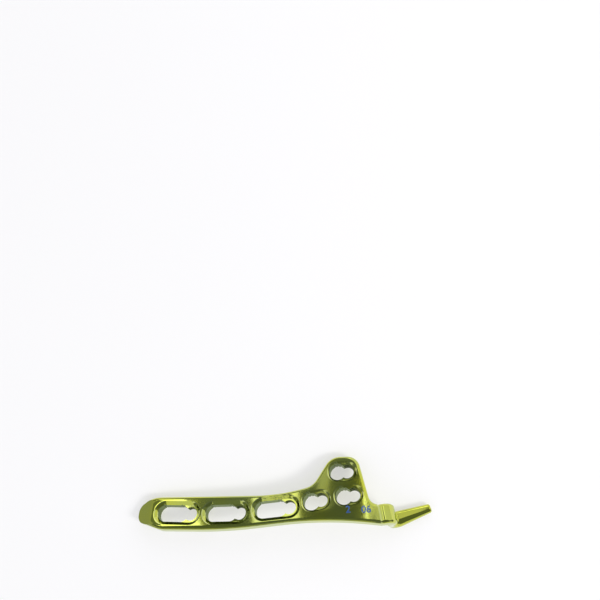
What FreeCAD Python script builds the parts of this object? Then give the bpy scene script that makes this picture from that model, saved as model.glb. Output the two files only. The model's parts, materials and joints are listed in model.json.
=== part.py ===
import FreeCAD, Part
import math
import os
import re
import Sketcher
from FreeCAD import Placement, Rotation, Vector

# Hook plate: a flat locking plate with six combination holes, a flared hole pad,
# a narrow neck and a hook that steps down and runs on under the neck.
# Plate frame: x along the plate from its rounded end, y to the flared side,
# z out of the outer face, with the flat underside at z = 0. Millimetres, degrees.

driving_sizes = {
    # Plate body
    "plate_thickness": 3.8,  # flat plate, underside to outer face
    "shaft_north": 5.3,  # hole line to the flared-side edge of the shaft
    "shaft_south": 5.0,  # hole line to the other edge of the shaft
    "rim_radius": 0.95,  # rounding of the outer rim
    "underside_radius": 0.4,  # rounding of the lower rim
    # Rounded end
    "nose_width": 4.6,  # blunt end before its corners are rounded
    "nose_offset": 0.75,  # middle of the blunt end from the axis
    "nose_radius": 3.0,  # corners of the blunt end
    "north_cheek": 5.5,  # end of the plate to its full width, flared side
    "south_cheek": 8.4,  # end of the plate to its full width, far side
    "cheek_radius": 9.0,  # corners where the full width begins
    "bevel_length": 5.0,  # ramp on the outer face at the rounded end
    "bevel_height": 1.5,  # height left at the tip of the ramp
    # Hole row
    "first_hole": 18.15,  # rounded end to the first threaded hole
    "first_offset": 0.5,  # first threaded hole from the axis
    "long_pitch": 16.1,  # between the threaded holes of long slots
    "short_pitch": 10.3,  # between the threaded holes of short slots
    "slot_turn_a": -2.0,  # slot direction of hole 1
    "slot_turn_f": 0.6,  # slot direction of the flare hole
    "row_turn_b": 0.6,  # row direction from hole 1 to hole 2
    "row_turn_c": 5.3,  # row direction from hole 2 to hole 3
    "row_turn_d": 10.9,  # row direction from hole 3 to hole 4
    "row_turn_e": 7.5,  # row direction from hole 4 to hole 5
    "flare_back": 2.0,  # flare hole behind hole 5
    "flare_rise": 7.3,  # flare hole beside hole 5
    # Combination holes
    "thread_radius": 2.15,  # bore of the threaded part
    "slot_radius": 2.6,  # half width of the plain slot
    "long_gap": 3.2,  # threaded axis to the near slot centre, long
    "long_travel": 5.2,  # near to far slot centre, long
    "short_gap": 3.05,  # threaded axis to the slot centre, short
    "long_rim": 3.7,  # rim radius of the long countersink
    "short_rim": 3.2,  # rim radius of the short countersink
    "flute_radius": 0.2,  # small upright flutes on the slot wall
    "flute_step": 20.0,  # angle between neighbouring flutes
    # Flare
    "flare_top": 4.85,  # flare hole to the flare's outer edge
    "flare_west": 5.2,  # flare hole to the near corner of the flare
    "flare_east": 3.2,  # flare hole to the far corner of the flare
    "flare_west_radius": 5.3,  # near corner of the flare
    "flare_east_radius": 4.0,  # far corner of the flare
    "web_back": 10.9,  # foot of the flare behind the flare hole
    "web_drop": 4.3,  # foot of the flare below the flare hole
    "web_radius": 6.0,  # concave foot of the flare
    "rise_back": 3.6,  # corner of the rising edge before hole 3
    "rise_radius": 62.0,  # curve where the edge begins to rise
    # Far edge of the shaft
    "belly_back": 4.5,  # lowest corner of the far edge before hole 2
    "belly_drop": 0.2,  # depth of that corner below the far edge
    "belly_radius": 160.0,  # gentle outward curve of the far edge
    "waist_ahead": 1.3,  # corner of the inward curve beyond hole 4
    "waist_drop": 5.45,  # hole 4 to that corner
    "waist_radius": 130.0,  # gentle inward curve of the far edge
    # Neck
    "neck_ahead": 7.75,  # hole 5 to the step down to the neck
    "neck_shift": 5.85,  # hole 5 to the neck's middle, sideways
    "neck_width": 5.9,  # width of the neck
    "neck_height": 3.3,  # height of the neck beyond its step
    "neck_run": 0.7,  # length of the step
    "neck_ledge": 0.12,  # shoulder left at each side of the step
    "throat_back": 2.75,  # inner corner beside the neck before its end
    "throat_rise": 0.45,  # inner corner beyond the neck's edge
    "throat_radius": 3.1,  # inner corner between flare and neck
    # Hook
    "post_turn": 10.0,  # neck direction from the plate's axis
    "hook_turn": 17.5,  # hook direction from the plate's axis
    "hook_drop": 10.25,  # neck middle down to the arm's middle
    "bend_radius": 2.4,  # bends of the hook's middle line
    "arm_width": 4.6,  # width of the post's foot and the arm's root
    "arm_height": 2.6,  # thickness of the post's foot and the arm's root
    "arm_reach": 12.928,  # post axis to the tip of the hook
    "arm_tip_width": 2.6,  # width of the arm at its tip
    "arm_tip_height": 2.3,  # height of the arm at its tip
    "arm_tip_radius": 1.0,  # long edges of the arm at its tip
    "arm_rim_radius": 1.9,  # far outer edge of the post's foot and the arm's root
    "tip_radius": 0.7,  # rounded end of the arm
}

doc = FreeCAD.newDocument("HookPlate")
sizes = doc.addObject("Spreadsheet::Sheet", "Sizes")
for row, (alias, number) in enumerate(driving_sizes.items(), 1):
    sizes.set("A%d" % row, alias.replace("_", " "))
    sizes.set("B%d" % row, str(number))
    sizes.setAlias("B%d" % row, alias)
doc.recompute()


def bound(text):
    """The expression with the sheet's name before each size."""
    return re.sub(r"\b([a-z]+_[a-z0-9_]+)\b", r"Sizes.\1", text)


def value(text):
    """The number that an expression of sizes gives now."""
    result = sizes.evalExpression(bound(text))
    return float(getattr(result, "Value", result))


# Hole centres as expressions, hole 1 at the rounded end, hole 6 on the flare
hole_x = ["first_hole"]
hole_y = ["first_offset"]
for pitch, turn in (("long_pitch", "row_turn_b"), ("long_pitch", "row_turn_c"),
                    ("short_pitch", "row_turn_d"), ("short_pitch", "row_turn_e")):
    hole_x.append("%s + %s * cos(%s)" % (hole_x[-1], pitch, turn))
    hole_y.append("%s + %s * sin(%s)" % (hole_y[-1], pitch, turn))
hole_x.append("%s - flare_back" % hole_x[4])
hole_y.append("%s + flare_rise" % hole_y[4])
slot_turn = ["slot_turn_a", "row_turn_b", "row_turn_c", "row_turn_d", "row_turn_e", "slot_turn_f"]
long_holes = (0, 1, 2)
short_holes = (3, 4, 5)
neck_x = "(%s + neck_ahead)" % hole_x[4]
neck_y = "(%s - neck_shift)" % hole_y[4]


def origin_plane(body, role):
    """The body's own origin plane of that role."""
    return [part for part in body.Origin.OriginFeatures if part.Role == role][0]


def new_sketch(body, name, role):
    """An empty sketch on one of the body's origin planes."""
    sketch = body.newObject("Sketcher::SketchObject", name)
    sketch.AttachmentSupport = (origin_plane(body, role), "")
    sketch.MapMode = "FlatFace"
    return sketch


def bind(thing, path, text):
    """Ties one property to an expression of sizes."""
    thing.setExpression(path, bound(text))


def fix_point(sketch, geometry, end, x_text, y_text):
    """Holds one point of the sketch at two expressions from the sketch's origin."""
    for kind, text in (("DistanceX", x_text), ("DistanceY", y_text)):
        number = sketch.addConstraint(Sketcher.Constraint(kind, -1, 1, geometry, end, value(text)))
        bind(sketch, "Constraints[%d]" % number, text)


def fix_radius(sketch, geometry, text):
    """Ties the radius of an arc or circle to an expression."""
    number = sketch.addConstraint(Sketcher.Constraint("Radius", geometry, value(text)))
    bind(sketch, "Constraints[%d]" % number, text)


def add_circle(sketch, x_text, y_text, radius_text):
    """A circle with bound centre and radius."""
    centre = Vector(value(x_text), value(y_text), 0)
    number = sketch.addGeometry(Part.Circle(centre, Vector(0, 0, 1), value(radius_text)))
    fix_point(sketch, number, 3, x_text, y_text)
    fix_radius(sketch, number, radius_text)


def add_outline(sketch, corners):
    """A closed outline through corners (x, y, radius), each radius an expression or None."""
    points = [Vector(value(x), value(y), 0) for x, y, radius in corners]
    count = len(corners)
    enter = []
    leave = []
    for i in range(count):
        before = (points[i - 1] - points[i]).normalize()
        after = (points[(i + 1) % count] - points[i]).normalize()
        reach = 0.0
        if corners[i][2]:
            reach = value(corners[i][2]) / math.tan(before.getAngle(after) / 2)
        enter.append(points[i] + before * reach)
        leave.append(points[i] + after * reach)
    lines = []
    for i in range(count):
        line = Part.LineSegment(leave[i], enter[(i + 1) % count])
        lines.append(sketch.addGeometry(line))
    for i in range(count):
        x_text, y_text, radius_text = corners[i]
        if not radius_text:
            sketch.addConstraint(Sketcher.Constraint("Coincident", lines[i - 1], 2, lines[i], 1))
            fix_point(sketch, lines[i], 1, x_text, y_text)
            continue
        along = (points[i] - enter[i]).normalize()
        turn = along.cross(leave[i] - points[i]).z
        inward = Vector(-along.y, along.x, 0) * math.copysign(value(radius_text), turn)
        centre = enter[i] + inward
        start, stop = (enter[i], leave[i]) if turn > 0 else (leave[i], enter[i])
        a = math.atan2(start.y - centre.y, start.x - centre.x)
        b = math.atan2(stop.y - centre.y, stop.x - centre.x)
        circle = Part.Circle(centre, Vector(0, 0, 1), value(radius_text))
        arc = sketch.addGeometry(Part.ArcOfCircle(circle, a, b if b > a else b + 2 * math.pi))
        ends = (1, 2) if turn > 0 else (2, 1)
        sketch.addConstraint(Sketcher.Constraint("Tangent", lines[i - 1], 2, arc, ends[0]))
        sketch.addConstraint(Sketcher.Constraint("Tangent", arc, ends[1], lines[i], 1))
        fix_radius(sketch, arc, radius_text)
        corner = sketch.addGeometry(Part.Point(points[i]), True)
        fix_point(sketch, corner, 1, x_text, y_text)
        sketch.addConstraint(Sketcher.Constraint("PointOnObject", corner, 1, lines[i - 1]))
        sketch.addConstraint(Sketcher.Constraint("PointOnObject", corner, 1, lines[i]))


def add_stadium(sketch, x_text, y_text, turn_text, near, far, radius_text):
    """A slot outline on the line that leaves a hole centre backwards along its direction."""
    ends = []
    for reach in (near, far):
        ends.append(("%s - %s * cos(%s)" % (x_text, reach, turn_text),
                     "%s - %s * sin(%s)" % (y_text, reach, turn_text)))
    turn = math.radians(value(turn_text))
    radius = value(radius_text)
    centres = [Vector(value(x), value(y), 0) for x, y in ends]
    side = Vector(-math.sin(turn), math.cos(turn), 0) * radius
    up = Vector(0, 0, 1)
    quarter = math.pi / 2
    arcs = []
    for centre, first in ((centres[0], turn - quarter), (centres[1], turn + quarter)):
        arc = Part.ArcOfCircle(Part.Circle(centre, up, radius), first, first + math.pi)
        arcs.append(sketch.addGeometry(arc))
    top = sketch.addGeometry(Part.LineSegment(centres[0] + side, centres[1] + side))
    low = sketch.addGeometry(Part.LineSegment(centres[1] - side, centres[0] - side))
    sketch.addConstraint(Sketcher.Constraint("Tangent", arcs[0], 2, top, 1))
    sketch.addConstraint(Sketcher.Constraint("Tangent", top, 2, arcs[1], 1))
    sketch.addConstraint(Sketcher.Constraint("Tangent", arcs[1], 2, low, 1))
    sketch.addConstraint(Sketcher.Constraint("Tangent", low, 2, arcs[0], 1))
    sketch.addConstraint(Sketcher.Constraint("Equal", arcs[0], arcs[1]))
    fix_radius(sketch, arcs[0], radius_text)
    for arc, (x, y) in zip(arcs, ends):
        fix_point(sketch, arc, 3, x, y)


def add_section(sketch, width, height, radii, turned=False, shift="0 * bend_radius"):
    """A bar section about the sketch's origin, its outer face up or, if turned, to the right.

    The radii are those of the outer corner on the far side, the other outer corner and the inner corners.
    """
    half_w = "%s / 2" % width
    half_h = "%s / 2" % height
    far, near, inner = radii
    if turned:
        corners = [("-%s" % half_h, "-%s" % half_w, inner), (half_h, "-%s" % half_w, far),
                   (half_h, half_w, near), ("-%s" % half_h, half_w, inner)]
    else:
        low = "%s - %s" % (shift, half_h)
        high = "%s + %s" % (shift, half_h)
        corners = [("-%s" % half_w, low, inner), (half_w, low, inner),
                   (half_w, high, near), ("-%s" % half_w, high, far)]
    add_outline(sketch, corners)


def place_sketch(sketch, offsets, turn_text, axis):
    """Shifts and turns a sketch from its origin plane by expressions."""
    base = Vector(*[value(text) for text in offsets])
    sketch.AttachmentOffset = Placement(base, Rotation(axis, value(turn_text)))
    for letter, text in zip("xyz", offsets):
        bind(sketch, "AttachmentOffset.Base.%s" % letter, text)
    bind(sketch, "AttachmentOffset.Rotation.Angle", turn_text)


def edges_where(shape, test):
    """Names of the edges that pass a test of the edge and five points on it."""
    names = []
    for number, edge in enumerate(shape.Edges, 1):
        span = edge.LastParameter - edge.FirstParameter
        points = [edge.valueAt(edge.FirstParameter + span * part / 4.0) for part in range(5)]
        if test(edge, points):
            names.append("Edge%d" % number)
    return names


def round_edges(body, name, radius_text, test):
    """A fillet on the edges of the body's tip that pass a test."""
    doc.recompute()
    base = body.Tip
    fillet = body.newObject("PartDesign::Fillet", name)
    fillet.Base = (base, edges_where(base.Shape, test))
    bind(fillet, "Radius", radius_text)
    doc.recompute()
    return fillet


def cut_pocket(body, name, sketch, depth_text=None, taper=0.0, through=False):
    """A pocket down from its sketch, or through everything, on both sides of it if asked."""
    doc.recompute()
    before = body.Tip.Shape.Volume
    pocket = body.newObject("PartDesign::Pocket", name)
    pocket.Profile = sketch
    if depth_text:
        bind(pocket, "Length", depth_text)
    else:
        pocket.Type = "ThroughAll"
    if through:
        pocket.SideType = "Symmetric"
    pocket.TaperAngle = taper
    doc.recompute()
    if pocket.Shape.Volume > before - 0.01:
        raise RuntimeError("%s removes nothing" % name)
    return pocket


plate = doc.addObject("PartDesign::Body", "hook_plate")
plate.Label = "hook_plate"
plate_top = "plate_thickness"

# Outline, seen from outside: round the end, along the far edge, neck end, flare
outline = new_sketch(plate, "Outline", "XY_Plane")
north = "(first_offset + shaft_north)"
south = "(first_offset - shaft_south)"
flare_edge = "(%s + flare_top)" % hole_y[5]
half_neck = "neck_width / 2"
neck_along = "neck_width / 2 * sin(post_turn)"
neck_across = "neck_width / 2 * cos(post_turn)"
neck_far = ("%s + %s" % (neck_x, neck_along), "%s - %s" % (neck_y, neck_across))
neck_near = ("%s - %s" % (neck_x, neck_along), "%s + %s" % (neck_y, neck_across))
add_outline(outline, [
    ("0 * north_cheek", "nose_offset - nose_width / 2", "nose_radius"),
    ("south_cheek", "%s + belly_drop" % south, "cheek_radius"),
    ("%s - belly_back" % hole_x[1], "%s - belly_drop" % south, "belly_radius"),
    ("%s + waist_ahead" % hole_x[3], "%s - waist_drop" % hole_y[3], "waist_radius"),
    (*neck_far, None),
    (*neck_near, None),
    ("%s - throat_back" % neck_x, "%s + %s + throat_rise" % (neck_y, half_neck), "throat_radius"),
    ("%s + flare_east" % hole_x[5], flare_edge, "flare_east_radius"),
    ("%s - flare_west" % hole_x[5], flare_edge, "flare_west_radius"),
    ("%s - web_back" % hole_x[5], "%s - web_drop" % hole_y[5], "web_radius"),
    ("%s - rise_back" % hole_x[2], north, "rise_radius"),
    ("north_cheek", north, "cheek_radius"),
    ("0 * north_cheek", "nose_offset + nose_width / 2", "nose_radius"),
])
blank = plate.newObject("PartDesign::Pad", "Blank")
blank.Profile = outline
bind(blank, "Length", plate_top)
doc.recompute()

# Rims: all round but for the neck's end, where the hook goes on
top_level = value(plate_top)
neck_way = Vector(math.cos(math.radians(value("post_turn"))), math.sin(math.radians(value("post_turn"))), 0)
neck_foot = Vector(value(neck_x), value(neck_y), 0)


def at_neck_end(edge):
    """Whether an edge lies in the neck's end face."""
    return all(abs((vertex.Point - neck_foot).dot(neck_way)) < 1e-4 for vertex in edge.Vertexes)


def on_outer_rim(edge, points):
    """Whether an edge belongs to the outer rim."""
    flat = all(abs(point.z - top_level) < 1e-4 for point in points)
    return flat and not at_neck_end(edge)


def on_lower_rim(edge, points):
    """Whether an edge belongs to the lower rim."""
    flat = all(abs(point.z) < 1e-4 for point in points)
    return flat and not at_neck_end(edge)


round_edges(plate, "OuterRim", "rim_radius", on_outer_rim)
round_edges(plate, "LowerRim", "underside_radius", on_lower_rim)

# Ramp on the outer face of the rounded end
ramp = new_sketch(plate, "Ramp", "XZ_Plane")
add_outline(ramp, [
    ("-nose_radius", "bevel_height - nose_radius * (plate_thickness - bevel_height) / bevel_length", None),
    ("bevel_length", plate_top, None),
    ("bevel_length", "2 * plate_thickness", None),
    ("-nose_radius", "2 * plate_thickness", None),
])
cut_pocket(plate, "RampCut", ramp, through=True)

# Hook: a step down to the neck, a bend, a post that turns about its axis, a bend out and the arm
bend_x = "%s + neck_run * cos(post_turn)" % neck_x
bend_y = "%s + neck_run * sin(post_turn)" % neck_y
post_x = "%s + bend_radius * cos(post_turn)" % bend_x
post_y = "%s + bend_radius * sin(post_turn)" % bend_y
neck_mid = "neck_height / 2"
arm_mid = "neck_height / 2 - hook_drop"
level = Vector(0, 1, 0)
upright = Vector(0, 0, 1)


neck_radii = ("rim_radius", "rim_radius", "underside_radius")
root_radii = ("arm_rim_radius", "rim_radius", "underside_radius")
tip_radii = ("arm_tip_radius", "arm_tip_radius", "arm_tip_radius")


def upright_section(name, spot, turn, width, height, radii, shift="0 * bend_radius"):
    """A bar section in an upright plane across the hook."""
    section = new_sketch(plate, name, "YZ_Plane")
    place_sketch(section, spot, turn, level)
    add_section(section, width, height, radii, shift=shift)
    doc.recompute()
    return section


def add_loft(name, first, last):
    """Fills the space between two sections."""
    doc.recompute()
    loft = plate.newObject("PartDesign::AdditiveLoft", name)
    loft.Profile = first
    loft.Sections = [last]
    doc.recompute()


def add_bend(name, section):
    """Turns a section a quarter round the level axis through its sketch's origin."""
    bend = plate.newObject("PartDesign::Revolution", name)
    bend.Profile = section
    bend.ReferenceAxis = (section, ["H_Axis"])
    bend.Angle = 90
    doc.recompute()


step_top = upright_section("StepTop", (neck_y, "(plate_thickness - neck_ledge) / 2", neck_x), "post_turn",
                           "(neck_width - 2 * neck_ledge)", "(plate_thickness - neck_ledge)", neck_radii)
step_foot = upright_section("StepFoot", (bend_y, neck_mid, bend_x), "post_turn",
                            "neck_width", "neck_height", neck_radii)
add_loft("NeckStep", step_top, step_foot)

upper = upright_section("UpperSection", (bend_y, "%s - bend_radius" % neck_mid, bend_x), "post_turn",
                        "neck_width", "neck_height", neck_radii, "bend_radius")
add_bend("UpperBend", upper)

sections = []
for name, height, turn, width, depth, radii in (
        ("PostTop", "%s - bend_radius" % neck_mid, "post_turn", "neck_width", "neck_height", neck_radii),
        ("PostFoot", "%s + bend_radius" % arm_mid, "hook_turn", "arm_width", "arm_height", root_radii)):
    section = new_sketch(plate, name, "XY_Plane")
    place_sketch(section, (post_x, post_y, height), turn, upright)
    add_section(section, width, depth, radii, turned=True)
    sections.append(section)
add_loft("Post", sections[0], sections[1])

root_x = "%s + bend_radius * cos(hook_turn)" % post_x
root_y = "%s + bend_radius * sin(hook_turn)" % post_y
lower = upright_section("LowerSection", (root_y, "%s + bend_radius" % arm_mid, root_x), "hook_turn",
                        "arm_width", "arm_height", root_radii, "-bend_radius")
add_bend("LowerBend", lower)

tip_x = "%s + arm_reach * cos(hook_turn)" % post_x
tip_y = "%s + arm_reach * sin(hook_turn)" % post_y
arm_root = upright_section("ArmRoot", (root_y, arm_mid, root_x), "hook_turn",
                           "arm_width", "arm_height", root_radii)
arm_tip = upright_section("ArmTip", (tip_y, arm_mid, tip_x), "hook_turn",
                          "arm_tip_width", "arm_tip_height", tip_radii)
add_loft("Arm", arm_root, arm_tip)


post_axis = Vector(value(post_x), value(post_y), 0)
hook_way = Vector(math.cos(math.radians(value("hook_turn"))), math.sin(math.radians(value("hook_turn"))), 0)
reach = value("arm_reach")


def at_tip(edge, points):
    """Whether an edge lies in the arm's end face."""
    return all(abs((point - post_axis).dot(hook_way) - reach) < 1e-4 for point in points)


round_edges(plate, "TipRound", "tip_radius", at_tip)

# Countersinks: one oval for each hole, wide on the long holes and narrow on the short ones
for i in long_holes + short_holes:
    rim = "long_rim" if i in long_holes else "short_rim"
    far = "(long_gap + long_travel)" if i in long_holes else "short_gap"
    oval = new_sketch(plate, "Oval%d" % (i + 1), "XY_Plane")
    bind(oval, "AttachmentOffset.Base.z", plate_top)
    add_stadium(oval, hole_x[i], hole_y[i], slot_turn[i], "0 * %s" % rim, far, rim)
    cut_pocket(plate, "Countersink%d" % (i + 1), oval, "%s - slot_radius" % rim, taper=-45.0)

# Bores of the threaded parts and the plain slots that open into them
bores = new_sketch(plate, "Bores", "XY_Plane")
slots = new_sketch(plate, "Slots", "XY_Plane")
for sketch in (bores, slots):
    bind(sketch, "AttachmentOffset.Base.z", plate_top)
for i in long_holes + short_holes:
    add_circle(bores, hole_x[i], hole_y[i], "thread_radius")
long_far = "(long_gap + long_travel)"
for i in long_holes:
    add_stadium(slots, hole_x[i], hole_y[i], slot_turn[i], "long_gap", long_far, "slot_radius")
for i in short_holes:
    slot_x = "%s - short_gap * cos(%s)" % (hole_x[i], slot_turn[i])
    slot_y = "%s - short_gap * sin(%s)" % (hole_y[i], slot_turn[i])
    add_circle(slots, slot_x, slot_y, "slot_radius")
cut_pocket(plate, "ThreadBores", bores)
cut_pocket(plate, "SlotCuts", slots)

# Flutes on the flared-side wall of each slot
flutes = new_sketch(plate, "Flutes", "XY_Plane")
bind(flutes, "AttachmentOffset.Base.z", plate_top)
for i in long_holes + short_holes:
    if i in long_holes:
        spots = [(long_far, "90 + flute_step"), ("long_gap", "90"), ("long_gap", "90 - flute_step")]
    else:
        spots = [("short_gap", "90 + flute_step"), ("short_gap", "90"), ("short_gap", "90 - flute_step")]
    for back, angle in spots:
        turned = "(%s + %s)" % (slot_turn[i], angle)
        flute_x = "%s - %s * cos(%s) + slot_radius * cos(%s)" % (hole_x[i], back, slot_turn[i], turned)
        flute_y = "%s - %s * sin(%s) + slot_radius * sin(%s)" % (hole_y[i], back, slot_turn[i], turned)
        add_circle(flutes, flute_x, flute_y, "flute_radius")
cut_pocket(plate, "FluteCuts", flutes)

# Rest: the loose plate lies on the flared-side edge near its rounded end, on the flare and on the hook
points = [Vector(point) for point in plate.Tip.Shape.tessellate(0.02)[0]]
first_x = value("first_hole")
flare_y = value(hole_y[5])
hook_z = value("%s + bend_radius" % arm_mid)
near_end = [point for point in points if point.x < first_x]
near_flare = [point for point in points if point.y > flare_y]
near_hook = [point for point in points if point.z < hook_z]
normal = Vector(0, 0, 1)
for settle in range(12):
    feet = [min(group, key=lambda point: point.dot(normal)) for group in (near_end, near_hook, near_flare)]
    normal = (feet[1] - feet[0]).cross(feet[2] - feet[0]).normalize()

axis_x = (Vector(1, 0, 0) - normal * normal.x).normalize()
axis_y = normal.cross(axis_x)
turned = [Vector(point.dot(axis_x), point.dot(axis_y), point.dot(normal)) for point in points]
low = Vector(min(p.x for p in turned), min(p.y for p in turned), min(p.z for p in turned))
high = Vector(max(p.x for p in turned), max(p.y for p in turned), max(p.z for p in turned))
matrix = FreeCAD.Matrix(axis_x.x, axis_x.y, axis_x.z, -(low.x + high.x) / 2,
                        axis_y.x, axis_y.y, axis_y.z, -(low.y + high.y) / 2,
                        normal.x, normal.y, normal.z, -low.z, 0, 0, 0, 1)
plate.Placement = Placement(matrix)
doc.recompute()

for thing in doc.Objects:
    if "Invalid" in thing.State or "Error" in thing.State:
        raise RuntimeError("%s failed: %s" % (thing.Name, thing.State))
shape = plate.Shape
if shape.isNull() or not shape.isValid() or len(shape.Solids) != 1:
    raise RuntimeError("hook_plate is not one valid solid")
os.makedirs("parts", exist_ok=True)
shape.exportStep("parts/hook_plate.step")
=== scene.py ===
"""Looks of a hook plate: anodised metal, fine threads in its locking holes and etched size marks."""

import json
import logging
import math
from dataclasses import dataclass
from enum import Enum

import bmesh
import bpy
from mathutils import Euler, Matrix, Quaternion, Vector

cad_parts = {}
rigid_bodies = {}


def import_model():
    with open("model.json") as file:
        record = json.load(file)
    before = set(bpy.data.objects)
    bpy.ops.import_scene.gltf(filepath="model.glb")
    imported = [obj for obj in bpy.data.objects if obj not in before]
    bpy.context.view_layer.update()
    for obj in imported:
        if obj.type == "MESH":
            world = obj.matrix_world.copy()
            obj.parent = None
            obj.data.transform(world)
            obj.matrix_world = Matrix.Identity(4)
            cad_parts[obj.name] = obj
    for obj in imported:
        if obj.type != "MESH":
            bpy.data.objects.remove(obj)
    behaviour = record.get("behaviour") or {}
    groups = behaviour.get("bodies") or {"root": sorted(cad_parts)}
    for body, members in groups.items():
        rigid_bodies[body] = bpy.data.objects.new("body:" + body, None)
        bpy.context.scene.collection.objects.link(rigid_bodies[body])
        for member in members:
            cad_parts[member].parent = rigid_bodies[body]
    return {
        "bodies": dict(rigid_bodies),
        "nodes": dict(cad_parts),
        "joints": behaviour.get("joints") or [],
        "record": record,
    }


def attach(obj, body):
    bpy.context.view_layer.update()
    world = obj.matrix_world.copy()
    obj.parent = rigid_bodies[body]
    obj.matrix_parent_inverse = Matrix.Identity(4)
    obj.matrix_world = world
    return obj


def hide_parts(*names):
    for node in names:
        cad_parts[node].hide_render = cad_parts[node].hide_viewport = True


log = logging.getLogger("hook_plate")

MM = 0.001

# From a locking bore's axis to the nearer end of its slot's middle line, in a long and in a round slot.
LONG_GAP = 3.2 * MM
ROUND_GAP = 3.05 * MM

Colour = tuple[float, float, float]
Socket = bpy.types.NodeSocket


@dataclass(frozen=True)
class PlateFrame:
    """The plate's own frame, as the loose plate lies: x along it, y to its lobe, z out of its face."""

    origin: Vector = Vector((-47.1646, -5.43341, 1.99438)) * MM
    pitch: float = math.radians(-5.50196)
    roll: float = math.radians(-28.8434)

    def matrix(self) -> Matrix:
        """The transform from the plate's frame to the scene."""
        turn = Matrix.Rotation(self.pitch, 4, "Y") @ Matrix.Rotation(self.roll, 4, "X")
        return Matrix.Translation(self.origin) @ turn

    def out(self) -> Vector:
        """The way out of the plate's face, in the scene."""
        return (self.matrix().to_3x3() @ Vector((0.0, 0.0, 1.0))).normalized()

    def place(self, mesh: bmesh.types.BMesh) -> None:
        """Moves a mesh made in the plate's frame to where the plate lies."""
        bmesh.ops.transform(mesh, matrix=self.matrix(), verts=mesh.verts)


class Hole(Enum):
    """Combination holes: mount of the locking bore, slot direction, length of the slot's travel."""

    ONE = ("screw_hole_1", -2.0, 5.2)
    TWO = ("screw_hole_2", 0.6, 5.2)
    THREE = ("screw_hole_3", 5.3, 5.2)
    FOUR = ("screw_hole_4", 10.9, 0.0)
    FIVE = ("screw_hole_5", 7.5, 0.0)
    LOBE = ("screw_hole_6", 0.6, 0.0)

    @property
    def slot_turn(self) -> float:
        """Angle of the slot against the plate's length, in radians."""
        return math.radians(self.value[1])

    @property
    def travel(self) -> float:
        """Distance between the ends of the slot's middle line, nothing where the slot is round."""
        return self.value[2] * MM

    @property
    def gap(self) -> float:
        """Distance from the locking bore's axis to the nearer end of the slot's middle line."""
        return LONG_GAP if self.travel else ROUND_GAP

    def mount(self, frame: dict) -> dict:
        """The locking bore's mount in the record."""
        return next(item for item in frame["record"]["mounts"] if item["name"] == self.value[0])

    def wall(self, frame: dict) -> float:
        """Length of the locking bore, from the underside to its countersink."""
        return self.mount(frame)["dims"]["length_mm"] * MM

    def foot(self, frame: dict) -> Vector:
        """Middle of the locking bore on the underside, in the scene."""
        mount = self.mount(frame)
        return Vector(mount["pos_m"]) - Vector(mount["axis"]) * self.wall(frame) / 2


def link(mesh: bmesh.types.BMesh, name: str) -> bpy.types.Object:
    """Turns a bmesh into an object of the scene with smooth faces.

    Args:
        mesh: The mesh, which is freed.
        name: Name of the object and of its mesh data.

    Returns:
        The new object, at the origin.
    """
    for face in mesh.faces:
        face.smooth = True
    data = bpy.data.meshes.new(name)
    mesh.to_mesh(data)
    mesh.free()
    piece = bpy.data.objects.new(name, data)
    bpy.context.scene.collection.objects.link(piece)
    return piece


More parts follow.
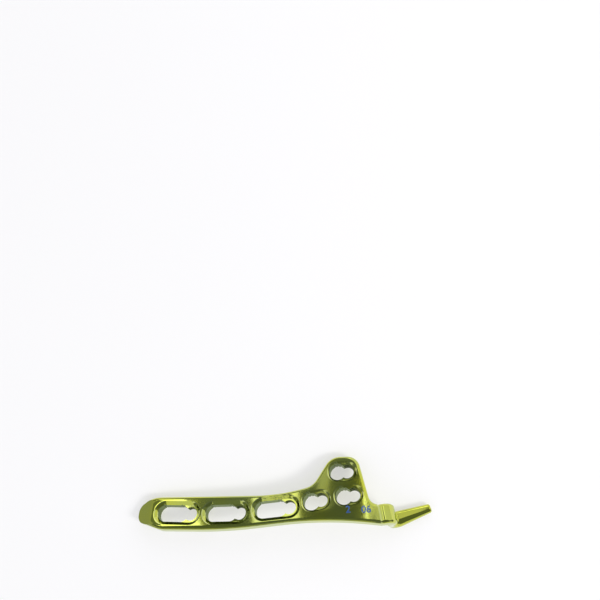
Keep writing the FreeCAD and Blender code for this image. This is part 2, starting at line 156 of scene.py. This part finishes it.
class Nodes:
    """Short ways to add and join shader nodes in one tree."""

    def __init__(self, tree: bpy.types.NodeTree) -> None:
        """Takes the tree and empties it."""
        self.tree = tree
        tree.nodes.clear()

    def add(self, kind: str, **settings: object) -> bpy.types.Node:
        """Adds a node.

        Args:
            kind: The node's type, such as ShaderNodeTexNoise.
            **settings: Attributes of the node, or numbers and colours of its input sockets.

        Returns:
            The new node.
        """
        node = self.tree.nodes.new(kind)
        for name, setting in settings.items():
            label = name.replace("_", " ")
            socket = next((item for item in node.inputs if item.name.lower() == label), None)
            if hasattr(node, name) and socket is None:
                setattr(node, name, setting)
            else:
                socket.default_value = setting
        return node

    def join(self, source: Socket, target: Socket) -> None:
        """Links two sockets."""
        self.tree.links.new(source, target)

    def coordinates(self, kind: str = "Object") -> Socket:
        """The coordinates that a pattern follows."""
        return self.add("ShaderNodeTexCoord").outputs[kind]

    def attribute(self, name: str) -> Socket:
        """The number that the mesh carries under a name."""
        return self.add("ShaderNodeAttribute", attribute_name=name).outputs["Fac"]

    def noise(self, place: Socket, scale: float, detail: float = 3.0) -> Socket:
        """A noise pattern.

        Args:
            place: Coordinates that the pattern follows.
            scale: Repeats for each metre.
            detail: Number of finer layers.

        Returns:
            The socket with the pattern's value.
        """
        node = self.add("ShaderNodeTexNoise", scale=scale, detail=detail, roughness=0.5)
        self.join(place, node.inputs["Vector"])
        return node.outputs["Fac"]

    def ramp(self, value: Socket, *stops: tuple[float, Colour]) -> Socket:
        """A colour ramp.

        Args:
            value: Socket that drives the ramp.
            *stops: Position and colour of each stop, in order.

        Returns:
            The socket with the colour.
        """
        node = self.add("ShaderNodeValToRGB")
        while len(node.color_ramp.elements) < len(stops):
            node.color_ramp.elements.new(0.5)
        for element, (position, colour) in zip(node.color_ramp.elements, stops):
            element.position = position
            element.color = (*colour, 1.0)
        self.join(value, node.inputs["Fac"])
        return node.outputs["Color"]

    def spread(self, value: Socket, low: float, high: float) -> Socket:
        """A number that follows a pattern.

        Args:
            value: Socket with the pattern.
            low: The number where the pattern is 0.
            high: The number where it is 1.

        Returns:
            The socket with the number.
        """
        node = self.add("ShaderNodeMapRange")
        node.inputs["To Min"].default_value = low
        node.inputs["To Max"].default_value = high
        self.join(value, node.inputs["Value"])
        return node.outputs["Result"]

    def cover(self, share: Socket, under: Socket, colour: Colour) -> Socket:
        """Lays a colour over another one.

        Args:
            share: How much of the colour covers what is under it.
            under: The colour under it.
            colour: The colour that covers.

        Returns:
            The socket with the mixed colour.
        """
        node = self.add("ShaderNodeMix", data_type="RGBA")
        node.inputs["B"].default_value = (*colour, 1.0)
        self.join(share, node.inputs["Factor"])
        self.join(under, node.inputs["A"])
        return node.outputs["Result"]

    def blend(self, share: Socket, first: Socket, second: Socket) -> Socket:
        """A shader that goes from the first to the second.

        Args:
            share: How much of the second shader there is.
            first: The shader at 0.
            second: The shader at 1.

        Returns:
            The socket with the mixed shader.
        """
        node = self.add("ShaderNodeMixShader")
        self.join(share, node.inputs["Fac"])
        self.join(first, node.inputs[1])
        self.join(second, node.inputs[2])
        return node.outputs["Shader"]

    def end(self, shader: Socket, kind: str = "ShaderNodeOutputMaterial") -> None:
        """Makes a shader the tree's output."""
        self.join(shader, self.add(kind).inputs["Surface"])


def start_material(name: str) -> tuple[bpy.types.Material, Nodes]:
    """Makes a material with an empty tree.

    Args:
        name: The material's name.

    Returns:
        The material and the helper that fills its tree.
    """
    material = bpy.data.materials.new(name)
    material.use_nodes = True
    return material, Nodes(material.node_tree)


@dataclass(frozen=True)
class AnodisedMetal:
    """Polished metal under a yellow-green oxide film, paler on worn edges, duller in the bores, with painted
    shade that darkens the bores' walls.
    """

    name: str = "anodised_metal"
    olive: Colour = (0.50, 0.57, 0.135)
    yellow: Colour = (0.62, 0.64, 0.045)
    worn: Colour = (0.82, 0.88, 0.50)
    # Painted shade: the dark colour laid on the bores' walls.
    bore_painted_shade: Colour = (0.20, 0.24, 0.11)
    grazing: Colour = (0.75, 0.82, 0.68)
    coating: float = 0.9
    coat_blur: float = 0.03
    smooth: float = 0.035
    dull: float = 0.065
    bore_dullness: float = 0.22
    cloud_scale: float = 70.0
    cloud_stops: tuple[float, float] = (0.30, 0.72)
    wear_scale: float = 420.0
    wear_range: tuple[float, float] = (0.15, 0.85)
    grain_scale: float = 2600.0
    ripple_scale: float = 160.0
    cutter_scale: float = 700.0
    ripple: float = 0.06 * MM
    ripple_share: float = 0.25
    cutter_marks: float = 0.02 * MM
    polish: float = 0.02 * MM
    polish_share: float = 0.03

    def build(self) -> bpy.types.Material:
        """Makes the material.

        Returns:
            The material, patterned on object coordinates and on the edge_wear, bore and milled attributes.
        """
        material, nodes = start_material(self.name)
        place = nodes.coordinates()
        bore = nodes.attribute("bore")
        grain = nodes.noise(place, self.grain_scale, detail=4.0)
        shader = nodes.add("ShaderNodeBsdfPrincipled", metallic=1.0, coat_roughness=self.coat_blur)
        shader.inputs["Specular Tint"].default_value = (*self.grazing, 1.0)
        nodes.join(self.film(nodes, place, bore), shader.inputs["Base Color"])
        nodes.join(self.gloss(nodes, grain, bore), shader.inputs["Roughness"])
        nodes.join(nodes.spread(bore, self.coating, 0.0), shader.inputs["Coat Weight"])
        nodes.join(self.relief(nodes, place, grain), shader.inputs["Normal"])
        nodes.end(shader.outputs["BSDF"])
        return material

    def film(self, nodes: Nodes, place: Socket, bore: Socket) -> Socket:
        """Colour of the oxide film, with its clouds, its worn rims and the bores' walls darkened with painted
        shade.

        Args:
            nodes: The material's tree.
            place: Coordinates that the patterns follow.
            bore: Where the bores' walls are.

        Returns:
            The socket with the colour.
        """
        clouds = nodes.noise(place, self.cloud_scale, detail=2.0)
        greener, yellower = self.cloud_stops
        colour = nodes.ramp(clouds, (greener, self.olive), (yellower, self.yellow))
        patches = nodes.add("ShaderNodeMath", operation="MULTIPLY")
        nodes.join(nodes.attribute("edge_wear"), patches.inputs[0])
        nodes.join(nodes.spread(nodes.noise(place, self.wear_scale), *self.wear_range), patches.inputs[1])
        # Worn rims are laid over the film, then the bores' walls are painted darker as painted shade.
        return nodes.cover(bore, nodes.cover(patches.outputs["Value"], colour, self.worn), self.bore_painted_shade)

    def gloss(self, nodes: Nodes, grain: Socket, bore: Socket) -> Socket:
        """Roughness, higher in the bores.

        Args:
            nodes: The material's tree.
            grain: The polish's fine pattern.
            bore: Where the bores' walls are.

        Returns:
            The socket with the roughness.
        """
        total = nodes.add("ShaderNodeMath", operation="MULTIPLY_ADD")
        nodes.join(bore, total.inputs[0])
        total.inputs[1].default_value = self.bore_dullness
        nodes.join(nodes.spread(grain, self.smooth, self.dull), total.inputs[2])
        return total.outputs["Value"]

    def relief(self, nodes: Nodes, place: Socket, grain: Socket) -> Socket:
        """Slight ripples of the polished faces, the cutter's marks in the countersinks and the fine polish.

        Args:
            nodes: The material's tree.
            place: Coordinates that the patterns follow.
            grain: The polish's fine pattern.

        Returns:
            The socket with the bent normal.
        """
        rippled = nodes.add("ShaderNodeBump", strength=self.ripple_share, distance=self.ripple)
        nodes.join(nodes.noise(place, self.ripple_scale, detail=1.0), rippled.inputs["Height"])
        milled = nodes.add("ShaderNodeBump", distance=self.cutter_marks)
        nodes.join(nodes.attribute("milled"), milled.inputs["Strength"])
        nodes.join(nodes.noise(place, self.cutter_scale, detail=2.0), milled.inputs["Height"])
        nodes.join(rippled.outputs["Normal"], milled.inputs["Normal"])
        polished = nodes.add("ShaderNodeBump", strength=self.polish_share, distance=self.polish)
        nodes.join(grain, polished.inputs["Height"])
        nodes.join(milled.outputs["Normal"], polished.inputs["Normal"])
        return polished.outputs["Normal"]


@dataclass(frozen=True)
class EtchedBlue:
    """Blue oxide of the laser-etched marks, uneven where the beam has crossed."""

    name: str = "etched_blue"
    deep: Colour = (0.030, 0.095, 0.36)
    pale: Colour = (0.09, 0.20, 0.50)
    bareness: float = 0.4
    smooth: float = 0.35
    dull: float = 0.6
    blotch_scale: float = 1800.0
    blotch_stops: tuple[float, float] = (0.35, 0.70)
    beam_scale: float = 9000.0
    beam_marks: float = 0.02 * MM
    beam_share: float = 0.2

    def build(self) -> bpy.types.Material:
        """Makes the material.

        Returns:
            The material, patterned on object coordinates.
        """
        material, nodes = start_material(self.name)
        place = nodes.coordinates()
        shader = nodes.add("ShaderNodeBsdfPrincipled", metallic=self.bareness)
        blotches = nodes.noise(place, self.blotch_scale)
        darker, paler = self.blotch_stops
        tone = nodes.ramp(blotches, (darker, self.deep), (paler, self.pale))
        nodes.join(tone, shader.inputs["Base Color"])
        nodes.join(nodes.spread(blotches, self.smooth, self.dull), shader.inputs["Roughness"])
        relief = nodes.add("ShaderNodeBump", strength=self.beam_share, distance=self.beam_marks)
        nodes.join(nodes.noise(place, self.beam_scale), relief.inputs["Height"])
        nodes.join(relief.outputs["Normal"], shader.inputs["Normal"])
        nodes.end(shader.outputs["BSDF"])
        return material


@dataclass
class PlateBody:
    """The plate and its hook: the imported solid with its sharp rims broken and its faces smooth."""

    node: str = "hook_plate"
    slot: str = "anodised_metal"
    merge_gap: float = 0.0005 * MM
    flat_angle: float = math.radians(0.4)
    rim_angle: float = math.radians(34.0)
    crease_angle: float = math.radians(58.0)
    rim_break: float = 0.20 * MM
    rim_steps: int = 2
    upright_share: float = 0.97
    hole_reach: float = 4.6 * MM
    wall_lean: float = 0.14
    cone_lean: float = 0.93

    def build(self, frame: dict, metal: bpy.types.Material, lie: PlateFrame) -> bpy.types.Object:
        """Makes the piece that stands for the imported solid.

        Args:
            metal: Finish of the piece.
            lie: Where the plate lies.

        Returns:
            The plate's piece.
        """
        mesh = bmesh.new()
        mesh.from_mesh(frame["nodes"][self.node].data)
        bmesh.ops.remove_doubles(mesh, verts=mesh.verts, dist=self.merge_gap)
        bmesh.ops.dissolve_limit(mesh, angle_limit=self.flat_angle, verts=mesh.verts, edges=mesh.edges)
        wear = mesh.verts.layers.float.new("edge_wear")
        broken = self.break_rims(mesh, lie.out())
        for vert in broken:
            vert[wear] = 1.0
        self.mark_holes(mesh, frame, lie)
        for edge in mesh.edges:
            edge.smooth = len(edge.link_faces) == 2 and edge.calc_face_angle() < self.crease_angle
        piece = link(mesh, "plate_body")
        piece.data.materials.append(metal)
        weighted = piece.modifiers.new("even_shading", "WEIGHTED_NORMAL")
        weighted.keep_sharp = True
        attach(piece, "root")
        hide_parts(self.node)
        return piece

    def mark_holes(self, mesh: bmesh.types.BMesh, frame: dict, lie: PlateFrame) -> None:
        """Marks the holes' upright walls in the face layer bore and their countersinks in the layer milled.

        Args:
            mesh: The plate with its rims rounded.
            lie: Where the plate lies.
        """
        bore = mesh.faces.layers.float.new("bore")
        milled = mesh.faces.layers.float.new("milled")
        back = lie.matrix().inverted()
        for hole in Hole:
            foot = back @ hole.foot(frame)
            turn = Matrix.Rotation(-hole.slot_turn, 3, "Z")
            for face in mesh.faces:
                spot = turn @ (back @ face.calc_center_median() - foot)
                reach = Vector((spot.x - min(max(spot.x, -hole.gap - hole.travel), 0.0), spot.y))
                way = turn @ (back.to_3x3() @ face.normal)
                if reach.length > self.hole_reach or way.xy.dot(reach) > 0:
                    continue
                if abs(way.z) < self.wall_lean:
                    face[bore] = 1.0
                elif abs(way.z) < self.cone_lean:
                    face[milled] = 1.0

    def break_rims(self, mesh: bmesh.types.BMesh, out: Vector) -> list[bmesh.types.BMVert]:
        """Rounds the sharp rims that don't run through the plate.

        Args:
            mesh: The merged plate.
            out: The way out of the plate's face.

        Returns:
            The points in the middle of the rounded rims.
        """
        rims = []
        for edge in mesh.edges:
            if len(edge.link_faces) != 2 or edge.calc_face_angle() < self.rim_angle:
                continue
            way = (edge.verts[1].co - edge.verts[0].co).normalized()
            if abs(way.dot(out)) < self.upright_share:
                rims.append(edge)
        before = set(mesh.verts)
        bmesh.ops.bevel(mesh, geom=rims, offset=self.rim_break, offset_type="OFFSET", affect="EDGES",
                        segments=self.rim_steps, profile=0.5, material=-1, clamp_overlap=True,
                        loop_slide=True)
        fresh = [vert for vert in mesh.verts if vert not in before]
        return [vert for vert in fresh if all(len(face.verts) <= 4 for face in vert.link_faces)]


@dataclass
class BoreThread:
    """The fine thread that stands in the closed side of a locking bore."""

    hole: Hole
    bore_radius: float = 2.15 * MM
    slot_radius: float = 2.6 * MM
    pitch: float = 0.5 * MM
    crest: float = 0.16 * MM
    foot_share: float = 0.72
    bedding: float = 0.02 * MM
    end_gap: float = math.radians(5.0)
    steps: int = 36

    def build(self, frame: dict, metal: bpy.types.Material, lie: PlateFrame) -> bpy.types.Object:
        """Makes the thread of one bore.

        Args:
            metal: Finish of the piece.
            lie: Where the plate lies.

        Returns:
            The thread's piece, one ridge for each turn.
        """
        mesh = bmesh.new()
        gap = self.hole.gap
        cosine = (gap ** 2 + self.bore_radius ** 2 - self.slot_radius ** 2) / (2 * gap * self.bore_radius)
        open_half = math.acos(cosine)
        first = self.hole.slot_turn + math.pi + open_half + self.end_gap
        sweep = 2 * (math.pi - open_half - self.end_gap)
        turns = int(self.hole.wall(frame) / self.pitch) - 1
        for turn in range(turns):
            self.add_ridge(mesh, first, sweep, (turn + 0.5) * self.pitch)
        bmesh.ops.recalc_face_normals(mesh, faces=mesh.faces)
        # The thread is marked as bore wall, so it takes the bores' painted shade and their dullness.
        layer = mesh.faces.layers.float.new("bore")
        for face in mesh.faces:
            face[layer] = 1.0
        turned = lie.matrix().to_3x3().to_4x4()
        bmesh.ops.transform(mesh, matrix=Matrix.Translation(self.hole.foot(frame)) @ turned, verts=mesh.verts)
        piece = link(mesh, f"thread_{self.hole.name.lower()}")
        piece.data.materials.append(metal)
        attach(piece, "root")
        return piece

    def add_ridge(self, mesh: bmesh.types.BMesh, first: float, sweep: float, height: float) -> None:
        """Adds one climbing ridge with a three-cornered section.

        Args:
            mesh: The mesh that takes the ridge.
            first: Angle where the ridge starts.
            sweep: Angle that it covers.
            height: Height of its start above the underside.
        """
        base = self.bore_radius + self.bedding
        tip = self.bore_radius - self.crest
        half = self.foot_share * self.pitch / 2
        corners = [(base, height - half), (tip, height), (base, height + half)]
        along = Matrix.Rotation(first, 3, "Z")
        verts = [mesh.verts.new(along @ Vector((radius, 0.0, level))) for radius, level in corners]
        face = mesh.faces.new(verts)
        climb = self.pitch * sweep / (2 * math.pi)
        section = [face, *face.edges, *face.verts]
        bmesh.ops.spin(mesh, geom=section, cent=(0, 0, 0), axis=(0, 0, 1), angle=sweep,
                       dvec=(0, 0, climb / self.steps), steps=self.steps, use_merge=False)


@dataclass
class SizeMarks:
    """Two etched numbers beside the neck."""

    texts: tuple[str, ...] = ("2", "06")
    places: tuple[tuple[float, float], ...] = ((68.2, -0.1), (73.0, -0.2))
    turn: float = math.radians(3.0)
    letter: float = 3.0 * MM
    stroke: float = 0.05 * MM
    thickness: float = 3.8 * MM
    film: float = 0.008 * MM

    def build(self, ink: bpy.types.Material, lie: PlateFrame) -> list[bpy.types.Object]:
        """Makes one piece for each number."""
        return [self.etch(text, place, ink, lie) for text, place in zip(self.texts, self.places)]

    def etch(self, text: str, place: tuple[float, float], ink: bpy.types.Material,
             lie: PlateFrame) -> bpy.types.Object:
        """Makes one number as a film on the outer face.

        Args:
            text: The number.
            place: Where it starts along and across the plate, in millimetres.
            ink: Finish of the mark.
            lie: Where the plate lies.

        Returns:
            The number's piece.
        """
        curve = bpy.data.curves.new(f"letters_{text}", "FONT")
        curve.body = text
        curve.size = self.letter
        curve.extrude = self.film
        curve.offset = self.stroke
        letters = bpy.data.objects.new(f"letters_{text}", curve)
        mesh = bmesh.new()
        mesh.from_mesh(bpy.data.meshes.new_from_object(letters))
        bpy.data.objects.remove(letters)
        spot = Matrix.Translation(Vector((place[0] * MM, place[1] * MM, self.thickness)))
        bmesh.ops.transform(mesh, matrix=spot @ Matrix.Rotation(self.turn, 4, "Z"), verts=mesh.verts)
        lie.place(mesh)
        piece = link(mesh, f"mark_{text}")
        for face in piece.data.polygons:
            face.use_smooth = False
        piece.data.materials.append(ink)
        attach(piece, "root")
        return piece


@dataclass(frozen=True)
class SoftBox:
    """One flat soft lamp that faces the plate.

    Its azimuth, its elevation and its lean, the turn in its own plane, are in degrees.
    """

    name: str
    azimuth: float
    elevation: float
    width: float
    height: float
    brightness: float
    lean: float = 0.0
    distance: float = 0.9
    mirrored: bool = True
    colour: Colour = (1.0, 1.0, 1.0)

    def build(self) -> None:
        """Hangs the lamp; its azimuth is from the plate's far side, clockwise seen from above."""
        lamp = bpy.data.lights.new(self.name, "AREA")
        lamp.shape = "RECTANGLE"
        lamp.size = self.width
        lamp.size_y = self.height
        lamp.energy = self.brightness * math.pi * self.width * self.height
        lamp.color = self.colour
        level = math.cos(math.radians(self.elevation))
        way = Vector((math.sin(math.radians(self.azimuth)) * level,
                      math.cos(math.radians(self.azimuth)) * level,
                      math.sin(math.radians(self.elevation))))
        holder = bpy.data.objects.new(self.name, lamp)
        holder.location = way * self.distance
        leaned = way.to_track_quat("Z", "Y") @ Quaternion((0.0, 0.0, 1.0), math.radians(self.lean))
        holder.rotation_euler = leaned.to_euler()
        holder.visible_glossy = self.mirrored
        holder.visible_camera = False
        bpy.context.scene.collection.objects.link(holder)


@dataclass
class Studio:
    """Pale table, soft lamps and the camera above the plate."""

    lens: float = 38.4
    sensor: float = 36.0
    nearest: float = 0.01
    farthest: float = 10.0
    eye: Vector = Vector((26.136, 50.567, 210.194)) * MM
    tilt: tuple[float, float, float] = (2.99, 4.70, -3.58)
    table: float = 4.0
    table_cells: int = 8
    table_roughness: float = 0.9
    table_glow: float = 0.45
    table_scale: float = 3.0
    table_stops: tuple[float, float] = (0.3, 0.7)
    table_tones: tuple[Colour, Colour] = ((0.93, 0.93, 0.935), (0.95, 0.95, 0.955))
    white: Colour = (1.0, 1.0, 1.0)
    sky: Colour = (0.95, 0.945, 1.0)
    daylight: float = 0.66
    # Sine of the elevation and colour of each band of the room that the metal mirrors.
    room: tuple[tuple[float, Colour], ...] = (
        (0.00, (0.14, 0.165, 0.155)),
        (0.64, (0.19, 0.22, 0.21)),
        (0.70, (0.105, 0.125, 0.120)),
        (0.92, (0.13, 0.155, 0.15)),
    )
    key: SoftBox = SoftBox("key_lamp", 105.0, 41.0, 0.26, 0.26, 21.0, distance=1.0, mirrored=False,
                           colour=(1.0, 0.985, 0.95))
    # Name, azimuth, elevation, width, height, brightness and lean of what each stretch of the plate mirrors.
    panels: tuple[SoftBox, ...] = (
        SoftBox("nose_panel", -68.0, 12.0, 0.46, 0.44, 0.22),
        SoftBox("end_panel", -37.9, 39.0, 0.085, 0.125, 2.0),
        SoftBox("hole_panel", -23.2, 43.0, 0.076, 0.20, 1.35, -18.0),
        SoftBox("web_panel", -15.5, 42.0, 0.022, 0.13, 0.40, -18.0),
        SoftBox("streak_panel", -10.85, 46.5, 0.0035, 0.09, 3.2, -12.0),
        SoftBox("neck_panel", -4.7, 48.0, 0.112, 0.10, 0.60),
        SoftBox("line_panel", -10.1, 47.0, 0.0025, 0.09, 1.4, -12.0, distance=0.88),
        SoftBox("arm_panel", -2.2, 24.0, 0.090, 0.62, 0.80),
        SoftBox("east_panel", 38.0, 23.0, 1.50, 0.82, 0.62),
        SoftBox("step_panel", 24.0, 36.0, 0.040, 0.30, 1.1, distance=0.87),
        SoftBox("far_panel", -140.0, 32.0, 1.00, 0.157, 0.60),
        SoftBox("row_panel", -165.5, 43.3, 0.16, 0.030, 0.7),
        SoftBox("low_panel", 150.0, 15.0, 0.80, 0.40, 0.65),
    )

    def build(self) -> None:
        """Makes the table, the world, the lamps and the camera."""
        self.lay_table()
        self.paint_world()
        self.key.build()
        for panel in self.panels:
            panel.build()
        self.set_camera()
        bpy.context.scene.view_settings.view_transform = "Standard"

    def lay_table(self) -> None:
        """Makes the table top at the height on which the plate rests, lit and a little white of itself."""
        mesh = bmesh.new()
        bmesh.ops.create_grid(mesh, x_segments=self.table_cells, y_segments=self.table_cells,
                              size=self.table)
        top = link(mesh, "table_top")
        material, nodes = start_material("pale_table")
        shader = nodes.add("ShaderNodeBsdfPrincipled", roughness=self.table_roughness)
        shader.inputs["Specular IOR Level"].default_value = 0.0
        patches = nodes.noise(nodes.coordinates(), self.table_scale)
        tone = nodes.ramp(patches, *zip(self.table_stops, self.table_tones))
        nodes.join(tone, shader.inputs["Base Color"])
        glow = nodes.add("ShaderNodeEmission", color=(*self.white, 1.0), strength=1.0)
        rays = nodes.add("ShaderNodeLightPath")
        seen = nodes.add("ShaderNodeMath", operation="MAXIMUM")
        nodes.join(rays.outputs["Is Camera Ray"], seen.inputs[0])
        nodes.join(rays.outputs["Is Glossy Ray"], seen.inputs[1])
        share = nodes.spread(seen.outputs["Value"], 0.0, self.table_glow)
        nodes.end(nodes.blend(share, shader.outputs["BSDF"], glow.outputs["Emission"]))
        top.data.materials.append(material)

    def paint_world(self) -> None:
        """Makes even daylight, which the metal mirrors as a dim room and the camera sees as white."""
        world = bpy.data.worlds.new("studio_room")
        world.use_nodes = True
        bpy.context.scene.world = world
        nodes = Nodes(world.node_tree)
        parts = nodes.add("ShaderNodeSeparateXYZ")
        nodes.join(nodes.coordinates("Generated"), parts.inputs["Vector"])
        mirrored = nodes.add("ShaderNodeBackground", strength=1.0)
        nodes.join(nodes.ramp(parts.outputs["Z"], *self.room), mirrored.inputs["Color"])
        even = nodes.add("ShaderNodeBackground", color=(*self.sky, 1.0), strength=self.daylight)
        bright = nodes.add("ShaderNodeBackground", color=(*self.white, 1.0), strength=1.0)
        rays = nodes.add("ShaderNodeLightPath")
        lit = nodes.blend(rays.outputs["Is Glossy Ray"], even.outputs["Background"],
                          mirrored.outputs["Background"])
        seen = nodes.blend(rays.outputs["Is Camera Ray"], lit, bright.outputs["Background"])
        nodes.end(seen, "ShaderNodeOutputWorld")

    def set_camera(self) -> None:
        """Puts the camera where the photograph was taken from."""
        lens = bpy.data.cameras.new("camera")
        lens.lens = self.lens
        lens.sensor_width = self.sensor
        lens.clip_start = self.nearest
        lens.clip_end = self.farthest
        camera = bpy.data.objects.new("camera", lens)
        camera.location = self.eye
        camera.rotation_euler = Euler([math.radians(angle) for angle in self.tilt], "XYZ")
        bpy.context.scene.collection.objects.link(camera)
        bpy.context.scene.camera = camera


def main(frame: dict) -> None:
    """Dresses the plate and sets up the studio.
    """
    logging.basicConfig(level=logging.INFO, format="%(name)s: %(message)s")
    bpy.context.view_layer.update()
    lie = PlateFrame()
    metal = AnodisedMetal().build()
    pieces = [PlateBody().build(frame, metal, lie)]
    pieces += [BoreThread(hole).build(frame, metal, lie) for hole in Hole]
    pieces += SizeMarks().build(EtchedBlue().build(), lie)
    Studio().build()
    for piece in pieces:
        log.info("%s has %d faces", piece.name, len(piece.data.polygons))


if __name__ == "__main__":
    main(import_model())
